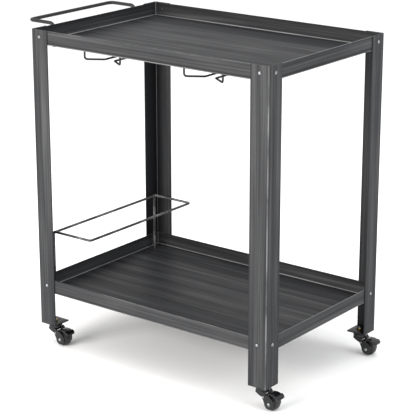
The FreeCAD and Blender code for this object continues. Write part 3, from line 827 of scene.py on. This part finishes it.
class WeldBead(Recipe):
    """A rippled weld bead along each path, thin at its two ends."""

    title = "weld_bead"
    sizes = {"Bead Radius": 1.1 * MM, "Ripple Pitch": 1.3 * MM, "Ripple Depth": 0.16,
             "Wander": 0.22, "Seed": 3, "Sides": 10}

    def shape(self, paths: Socket) -> Socket:
        """Sweep a circle whose radius ripples and wanders along the path."""
        fine = self.add("GeometryNodeResampleCurve", mode="LENGTH")
        self.join(self.run("GeometryNodeMeshToCurve", paths), fine.inputs["Curve"])
        self.join(self.calc("DIVIDE", self.given["Ripple Pitch"], 5.0), fine.inputs["Length"])
        where = self.add("GeometryNodeSplineParameter").outputs
        turns = self.calc("MULTIPLY", self.calc("DIVIDE", where["Length"],
                                                self.given["Ripple Pitch"]), math.tau)
        ripple = self.calc("MULTIPLY", self.calc("SINE", turns), self.given["Ripple Depth"])
        chance = self.add("FunctionNodeRandomValue", data_type="FLOAT")
        self.join(self.given["Seed"], chance.inputs["Seed"])
        low, high = [s for s in chance.inputs if s.name in ("Min", "Max") and s.type == "VALUE"]
        self.join(self.calc("MULTIPLY", self.given["Wander"], -0.5), low)
        self.join(self.calc("MULTIPLY", self.given["Wander"], 0.5), high)
        scatter = next(s for s in chance.outputs if s.type == "VALUE")
        ends = self.calc("MULTIPLY", where["Factor"], self.calc("SUBTRACT", 1.0, where["Factor"]))
        taper = self.calc("MINIMUM", 1.0, self.calc("ADD", 0.45, self.calc("MULTIPLY", ends, 9.0)))
        swell = self.calc("ADD", 1.0, self.calc("ADD", ripple, scatter))
        width = self.add("GeometryNodeSetCurveRadius")
        self.join(fine.outputs[0], width.inputs["Curve"])
        self.join(self.calc("MULTIPLY", swell, taper), width.inputs["Radius"])
        section = self.ring(self.given["Sides"], self.given["Bead Radius"])
        sweep = self.sweep(width.outputs[0], section)
        if "Scale" in sweep.inputs:
            self.join(self.calc("MULTIPLY", swell, taper), sweep.inputs["Scale"])
        sweep.inputs["Fill Caps"].default_value = True
        return sweep.outputs[0]


class ThreadRidges(Recipe):
    """Thread ridges at a pitch along each path."""

    title = "thread_ridges"
    sizes = {"Thread Radius": 4 * MM, "Pitch": 1.0 * MM, "Ridge": 0.3 * MM, "Steps": 40}

    def shape(self, paths: Socket) -> Socket:
        """Set a thin ring across the path at each pitch."""
        marks = self.add("GeometryNodeResampleCurve", mode="LENGTH")
        self.join(self.run("GeometryNodeMeshToCurve", paths), marks.inputs["Curve"])
        self.join(self.given["Pitch"], marks.inputs["Length"])
        round_path = self.ring(self.given["Steps"], self.given["Thread Radius"])
        ridge = self.sweep(round_path, self.ring(4, self.given["Ridge"]))
        turn = self.add("FunctionNodeAlignRotationToVector", axis="Z")
        tangent = self.add("GeometryNodeInputTangent")
        self.join(tangent.outputs[0], turn.inputs["Vector"])
        copies = self.add("GeometryNodeInstanceOnPoints")
        self.join(marks.outputs[0], copies.inputs["Points"])
        self.join(ridge.outputs[0], copies.inputs["Instance"])
        self.join(turn.outputs[0], copies.inputs["Rotation"])
        return copies.outputs[0]


# ------------------------------------------------------------------ the cart's pieces

@dataclass
class Workshop:
    """The recipes and finishes that the sub-assemblies share."""

    bar: RoundBar = field(default_factory=RoundBar)
    weld: WeldBead = field(default_factory=WeldBead)
    thread: ThreadRidges = field(default_factory=ThreadRidges)
    black_rod: RodLacquer = field(default_factory=lambda: RodLacquer("black_rod_lacquer"))
    worn_wire: RodLacquer = field(default_factory=lambda: RodLacquer(
        "worn_wire_lacquer", body=(0.040, 0.040, 0.042), bare=(0.15, 0.15, 0.15),
        wear=(0.46, 0.66), gloss=0.36, metal=0.35))
    black_steel: RodLacquer = field(default_factory=lambda: RodLacquer(
        "black_plate_lacquer", body=(0.006, 0.0064, 0.0075), wear=(0.66, 0.86), gloss=0.30))
    zinc: PlatedSteel = field(default_factory=PlatedSteel)
    balls: PlatedSteel = field(default_factory=lambda: PlatedSteel(
        "ball_steel", body=(0.55, 0.56, 0.58), gloss=0.10))
    yellow_zinc: PlatedSteel = field(default_factory=lambda: PlatedSteel(
        "yellow_zinc", body=(0.55, 0.43, 0.20), dull=(0.32, 0.26, 0.15), gloss=0.28))
    moulding: GlossMoulding = field(default_factory=GlossMoulding)
    rubber: WheelRubber = field(default_factory=WheelRubber)


@dataclass
class SubAssembly(ABC):
    """A part of the cart that builds its own meshes and dresses its own nodes."""

    shop: Workshop

    @abstractmethod
    def build(self) -> None:
        """Make the pieces and dress them."""

    def dress_node(self, node: str, finish: Finish, slot: str) -> None:
        """Give a node that stays in view its finish.

        Args:
            node: the node's name.
            finish: the finish it takes.
            slot: the record's slot that the finish stands for; not used.
        """
        item = frame["nodes"][node]
        item.data.materials.clear()
        item.data.materials.append(finish.material())
        LOG.info("dressed node %s", node)

    def add_piece(self, piece: bpy.types.Object, body: str, finish: Finish,
                  slot: str) -> None:
        """Finish a new piece and let it ride on its body.

        Args:
            piece: the piece, in place.
            body: the body it rides on.
            finish: the finish it takes.
            slot: the record's slot that the finish stands for; not used.
        """
        piece.data.materials.clear()
        piece.data.materials.append(finish.material())
        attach(piece, body)
        LOG.info("made piece %s: %d faces", piece.name, len(piece.data.polygons))


@dataclass
class Legs(SubAssembly):
    """The four angle legs."""

    def build(self) -> None:
        """Dress the legs in streaked lacquer."""
        low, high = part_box("leg_front_right")
        bolts = [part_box(f"{tray}_tray_bolts") for tray in ("upper", "lower")]
        finish = LegLacquer("leg_lacquer", half_x=high.x, half_y=-low.y,
                            flange=high.x - low.x,
                            bolt_levels=tuple((a.z + b.z) / 2 for a, b in bolts))
        for corner in Corner:
            self.dress_node(f"leg_{corner.key}", finish, "gunmetal_angle")


@dataclass
class Trays(SubAssembly):
    """The two folded trays with their bolts."""

    # strength of each tray's painted shade at the foot of its outer walls
    foot_shades: tuple[tuple[str, float], ...] = (("upper", 0.75), ("lower", 0.25))

    def build(self) -> None:
        """Dress the trays and the bolts."""
        for tray, shade in self.foot_shades:
            low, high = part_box(f"{tray}_tray")
            finish = TrayLacquer(f"{tray}_tray_lacquer", level=low.z, half_x=high.x,
                                 half_y=high.y, wall=high.z - low.z, lowest_shade=shade)
            self.dress_node(f"{tray}_tray", finish, "gunmetal_sheet")
            self.dress_node(f"{tray}_tray_bolts", self.shop.zinc, "bright_zinc")


@dataclass
class PushHandle(SubAssembly):
    """The bent bar at the cart's left end, welded down the upper tray's wall."""

    radius: float = 4.5 * MM
    bend: float = 13 * MM
    bead: float = 1.1 * MM
    bead_rise: float = 4 * MM
    bead_length: float = 15 * MM

    def build(self) -> None:
        """Sweep the bar and lay a bead down each side of its two tails."""
        low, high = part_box("push_handle")
        wall, outer = high.x - self.radius, low.x + self.radius
        arm, level = high.y - self.radius, high.z - self.radius
        half = [Vector((wall, -arm, low.z)), Vector((wall, -arm, level)),
                Vector((outer, -arm, level))]
        path = half + [Vector((p.x, -p.y, p.z)) for p in reversed(half)]
        handle = self.shop.bar.make("handle_bar", [path], self.shop.black_rod,
                                    Bar_Radius=self.radius, Bend_Radius=self.bend)
        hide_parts("push_handle")
        self.add_piece(handle, "cart_frame", self.shop.black_rod, "black_rod")
        tray_low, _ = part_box("upper_tray")
        beads = []
        for y in (-arm, arm):
            for step in (-1, 1):
                foot = Vector((high.x - 0.6 * self.bead, y + step * 0.62 * self.radius,
                               tray_low.z + self.bead_rise))
                beads.append([foot, foot + Vector((0, 0, self.bead_length))])
        welds = self.shop.weld.make("handle_welds", beads, self.shop.black_rod,
                                    Bead_Radius=self.bead)
        self.add_piece(welds, "cart_frame", self.shop.black_rod, "black_rod")


@dataclass
class BottleRail(SubAssembly):
    """The wire loop that holds bottles at the lower tray's left end."""

    radius: float = 3.2 * MM
    bend: float = 7 * MM
    bar_shift: float = 1 * MM
    bar_drop: float = 2.1 * MM
    bead: float = 0.8 * MM

    def build(self) -> None:
        """Sweep the loop and its near bar, and ring each joint with weld."""
        low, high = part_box("bottle_rail")
        post, far = low.x + self.radius, high.x - self.radius
        arm, level = high.y - self.radius, high.z - self.radius
        half = [Vector((post, -arm, low.z)), Vector((post, -arm, level)),
                Vector((far, -arm, level))]
        loop = half + [Vector((p.x, -p.y, p.z)) for p in reversed(half)]
        across = Vector((post + self.bar_shift, -arm, level - self.bar_drop))
        bar = [across, Vector((across.x, arm, across.z))]
        rail = self.shop.bar.make("rail_wire", [loop, bar], self.shop.worn_wire,
                                  Bar_Radius=self.radius, Bend_Radius=self.bend, Sides=24)
        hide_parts("bottle_rail")
        self.add_piece(rail, "cart_frame", self.shop.worn_wire, "worn_wire")
        rings = [ring_path(Vector((across.x, end * (arm - self.radius), across.z)),
                           Vector((0, 1, 0)), self.radius) for end in (-1, 1)]
        welds = self.shop.weld.make("rail_welds", rings, self.shop.worn_wire,
                                    Bead_Radius=self.bead)
        self.add_piece(welds, "cart_frame", self.shop.worn_wire, "worn_wire")
        self.dress_node("rail_screws", self.shop.zinc, "bright_zinc")


@dataclass
class StemwareRack(SubAssembly):
    """A bent wire rack under the upper tray, open to the front."""

    side: str
    radius: float = 2.4 * MM
    bend: float = 6.5 * MM
    slot: float = 15 * MM
    throat: float = 26.5 * MM
    bead: float = 0.8 * MM

    def build(self) -> None:
        """Sweep the rack and ring each welded end."""
        node = f"stemware_rack_{self.side}"
        low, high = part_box(node)
        centre = (low.x + high.x) / 2
        mouth = (high.x - low.x) / 2 - self.radius
        front, back = low.y + self.radius, high.y - self.radius
        level, ceiling = low.z + self.radius, high.z
        half = [(-mouth, front, ceiling), (-mouth, front, level),
                (-self.slot, front + self.throat, level), (-self.slot, back, level),
                (-self.slot, back, ceiling - self.radius)]
        path = [Vector((centre + x, y, z)) for x, y, z in half]
        path += [Vector((centre - x, y, z)) for x, y, z in reversed(half)]
        rack = self.shop.bar.make(f"rack_wire_{self.side}", [path], self.shop.black_rod,
                                  Bar_Radius=self.radius, Bend_Radius=self.bend, Sides=24)
        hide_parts(node)
        self.add_piece(rack, "cart_frame", self.shop.black_rod, "black_rod")
        up = Vector((0, 0, 1))
        rings = [ring_path(Vector((centre + step * mouth, front, ceiling - self.bead)), up,
                           self.radius) for step in (-1, 1)]
        rings.append([Vector((centre - self.slot + self.bend, back + self.radius * 0.4,
                              ceiling - self.bead)),
                      Vector((centre + self.slot - self.bend, back + self.radius * 0.4,
                              ceiling - self.bead))])
        welds = self.shop.weld.make(f"rack_welds_{self.side}", rings, self.shop.black_rod,
                                    Bead_Radius=self.bead)
        self.add_piece(welds, "cart_frame", self.shop.black_rod, "black_rod")


def ring_path(centre: Vector, axis: Vector, radius: float, steps: int = 24) -> list[Vector]:
    """Points once round an axis, nearly back to the first.

    Args:
        centre: the ring's centre.
        axis: the ring's axis.
        radius: the ring's radius.
        steps: points round the ring.

    Returns:
        The points in order.
    """
    turn = axis.to_track_quat("Z", "X")
    return [centre + turn @ Vector((radius * math.cos(a), radius * math.sin(a), 0))
            for a in (math.tau * i / steps for i in range(steps + 1))]


@dataclass
class Caster(SubAssembly):
    """One braked swivel caster, with its plate and stem."""

    corner: Corner
    tread: float = 17.5 * MM
    rim: float = 13.4 * MM
    flat: float = 4.6 * MM
    half_width: float = 12 * MM
    bore: float = 2.56 * MM
    fork_edge: float = 0.7 * MM
    pedal_edge: float = 1.1 * MM
    plate_edge: float = 0.4 * MM
    nut_edge: float = 0.35 * MM

    @property
    def swivel(self) -> str:
        """The body that turns about the stem."""
        return f"swivel_{self.corner.key}"

    def wheel_profile(self) -> list[tuple[float, float]]:
        """The wheel's section: hub, dish, side ring, round shoulders and a mould line."""
        half, tread, rim = self.half_width, self.tread, self.rim
        side = [(self.bore, half + 0.6 * MM), (4.6 * MM, half + 0.6 * MM),
                (5.0 * MM, half + 0.3 * MM), (5.3 * MM, half - 0.9 * MM),
                (8.4 * MM, half - 1.1 * MM), (8.9 * MM, half - 0.6 * MM),
                (rim - 0.7 * MM, half - 0.5 * MM)]
        reach, rise = half - 0.7 * MM - self.flat, tread - rim
        shoulder = (reach * reach + rise * rise) / (2 * rise)
        steps = 12
        for i in range(steps + 1):
            out = reach * (1 - i / steps)
            away = tread - shoulder + math.sqrt(shoulder * shoulder - out * out)
            side.append((away - 0.12 * MM, self.flat + out))
        side.append((tread - 0.1 * MM, 0.5 * MM))
        side.append((tread, 0.25 * MM))
        return side + [(away, -along) for away, along in reversed(side)]

    def build(self) -> None:
        """Make the turning pieces and dress the rest."""
        key, shop = self.corner.key, self.shop
        low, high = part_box(f"wheel_{key}")
        centre = (low + high) / 2
        wheel = new_object(f"rolling_wheel_{key}",
                           turned(f"rolling_wheel_{key}", self.wheel_profile(), centre))
        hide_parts(f"wheel_{key}")
        self.add_piece(wheel, f"wheel_{key}", shop.rubber, "wheel_black")
        fork = softened(f"caster_fork_{key}", f"fork_{key}", self.fork_edge, 3)
        self.add_piece(fork, self.swivel, shop.moulding, "black_moulding")
        pedal = softened(f"brake_pedal_{key}", f"pedal_{key}", self.pedal_edge, 4)
        self.add_piece(pedal, f"brake_{key}", shop.moulding, "black_moulding")
        plate = softened(f"caster_plate_{key}", f"plate_{key}", self.plate_edge, 2)
        self.add_piece(plate, "cart_frame", shop.black_steel, "black_steel")
        self.dress_node(f"swivel_race_{key}", shop.black_steel, "black_steel")
        self.dress_node(f"caster_stem_{key}", shop.zinc, "bright_zinc")
        self.dress_node(f"swivel_balls_{key}", shop.balls, "bearing_steel")
        self.dress_node(f"axle_bolt_{key}", shop.zinc, "bright_zinc")
        self.dress_node(f"pedal_pin_{key}", shop.zinc, "bright_zinc")
        nut = softened(f"axle_nut_{key}", f"axle_hex_{key}", self.nut_edge, 2)
        self.add_piece(nut, self.swivel, shop.zinc, "bright_zinc")


@dataclass
class StemHardware(SubAssembly):
    """The nuts and thread on the four stems, and the beads that hold the plates."""

    thread_radius: float = 2.85 * MM
    nut_edge: float = 0.5 * MM
    bead: float = 1.0 * MM
    bead_span: tuple[float, float] = (6 * MM, 42 * MM)

    def build(self) -> None:
        """Round the nuts, ridge the stems and weld the plates into the legs."""
        nuts = softened("caster_stem_nuts", "stem_nuts", self.nut_edge, 2)
        self.add_piece(nuts, "cart_frame", self.shop.yellow_zinc, "yellow_zinc")
        _, nut_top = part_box("caster_stem_nuts")
        ridged, beads = [], []
        for corner in Corner:
            low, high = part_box(f"caster_stem_{corner.key}")
            axis = (low + high) / 2
            ridged.append([Vector((axis.x, axis.y, nut_top.z + 0.5 * MM)),
                           Vector((axis.x, axis.y, high.z - 1.2 * MM))])
            beads.extend(self.plate_beads(corner))
        threads = self.shop.thread.make("stem_threads", ridged, self.shop.zinc,
                                        Thread_Radius=self.thread_radius)
        self.add_piece(threads, "cart_frame", self.shop.zinc, "bright_zinc")
        welds = self.shop.weld.make("plate_welds", beads, self.shop.black_steel,
                                    Bead_Radius=self.bead)
        self.add_piece(welds, "cart_frame", self.shop.black_steel, "black_steel")

    def plate_beads(self, corner: Corner) -> list[Path]:
        """The two beads along a plate's edges, against the leg's flanges."""
        low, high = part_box(f"caster_plate_{corner.key}")
        outer = Vector((corner.side * max(abs(low.x), abs(high.x)),
                        corner.end * max(abs(low.y), abs(high.y)), high.z))
        inset = 0.5 * self.bead
        inner = outer - Vector((corner.side * inset, corner.end * inset, 0))
        along_x = Vector((-corner.side, 0, 0))
        along_y = Vector((0, -corner.end, 0))
        start, stop = self.bead_span
        return [[inner + way * start, inner + way * stop] for way in (along_x, along_y)]


# ------------------------------------------------------------------ the studio

@dataclass
class Softbox:
    """A large soft light that faces the cart."""

    name: str
    place: tuple[float, float, float]
    power: float
    width: float
    height: float
    tint: Colour = (1.0, 1.0, 1.0)
    target: tuple[float, float, float] = (0.0, 0.0, 0.4)

    def build(self) -> None:
        """Put the light in the scene, turned to its target."""
        lamp = bpy.data.lights.new(self.name, "AREA")
        lamp.shape, lamp.size, lamp.size_y = "RECTANGLE", self.width, self.height
        lamp.energy, lamp.color = self.power, self.tint
        item = bpy.data.objects.new(self.name, lamp)
        item.location = self.place
        way = Vector(self.target) - Vector(self.place)
        item.rotation_euler = way.to_track_quat("-Z", "Y").to_euler()
        bpy.context.scene.collection.objects.link(item)
        LOG.info("set light %s", self.name)


@dataclass
class Studio:
    """A pale floor, soft light all round and the main camera."""

    floor_half: float = 30.0
    sky: Colour = (1.0, 1.0, 1.0)
    sky_strength: float = 1.04
    camera_place: tuple[float, float, float] = (2.2933, -2.9815, 1.5473)
    camera_yaw: float = 0.6548
    camera_pitch: float = 0.3038
    lens: float = 138.32
    lights: tuple[Softbox, ...] = (
        Softbox("front_softbox", (-1.0, -3.6, 1.5), 170, 2.6, 1.6, (1.0, 0.975, 0.94)),
        Softbox("side_softbox", (3.4, 0.4, 2.0), 40, 2.0, 1.4, (0.93, 0.96, 1.0)),
        Softbox("overhead_softbox", (0.2, 0.2, 4.2), 90, 4.0, 4.0),
    )

    def build(self) -> None:
        """Lay the floor, light it and place the camera."""
        self.lay_floor()
        self.light_sky()
        for light in self.lights:
            light.build()
        self.place_camera()

    def lay_floor(self) -> None:
        """A wide pale floor with a faint mottle."""
        half = self.floor_half
        mesh = bpy.data.meshes.new("studio_floor")
        mesh.from_pydata([(-half, -half, 0), (half, -half, 0), (half, half, 0),
                          (-half, half, 0)], [], [(0, 1, 2, 3)])
        shader = Shader("studio_floor_paint")
        mottle = shader.noise((3, 3, 3), detail=3)
        shader.put(Base_Color=shader.blend(mottle, (0.90, 0.90, 0.90), (0.93, 0.93, 0.93)),
                   Roughness=0.85, Specular_IOR_Level=0.1)
        mesh.materials.append(shader.material)
        new_object("studio_floor", mesh)

    def light_sky(self) -> None:
        """An even pale surround."""
        world = bpy.data.worlds.new("studio_surround")
        world.use_nodes = True
        background = world.node_tree.nodes["Background"]
        background.inputs["Color"].default_value = (*self.sky, 1.0)
        background.inputs["Strength"].default_value = self.sky_strength
        bpy.context.scene.world = world

    def place_camera(self) -> None:
        """The main view: from the front right, a little above the cart."""
        lens = bpy.data.cameras.new("main_camera")
        lens.lens, lens.sensor_width = self.lens, 36.0
        lens.clip_start, lens.clip_end = 0.1, 200.0
        camera = bpy.data.objects.new("main_camera", lens)
        camera.location = self.camera_place
        camera.rotation_euler = Euler((math.pi / 2 - self.camera_pitch, 0, self.camera_yaw))
        bpy.context.scene.collection.objects.link(camera)
        bpy.context.scene.camera = camera
        bpy.context.scene.view_settings.view_transform = "Standard"


def main() -> None:
    """Build the cart's looks and the studio."""
    logging.basicConfig(level=logging.INFO, format="%(name)s: %(message)s")
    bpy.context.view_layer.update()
    shop = Workshop()
    assemblies: list[SubAssembly] = [Legs(shop), Trays(shop), PushHandle(shop),
                                     BottleRail(shop), StemwareRack(shop, "left"),
                                     StemwareRack(shop, "right"), StemHardware(shop)]
    assemblies += [Caster(shop, corner) for corner in Corner]
    for assembly in assemblies:
        assembly.build()
    Studio().build()


if __name__ == "__main__":
    main()
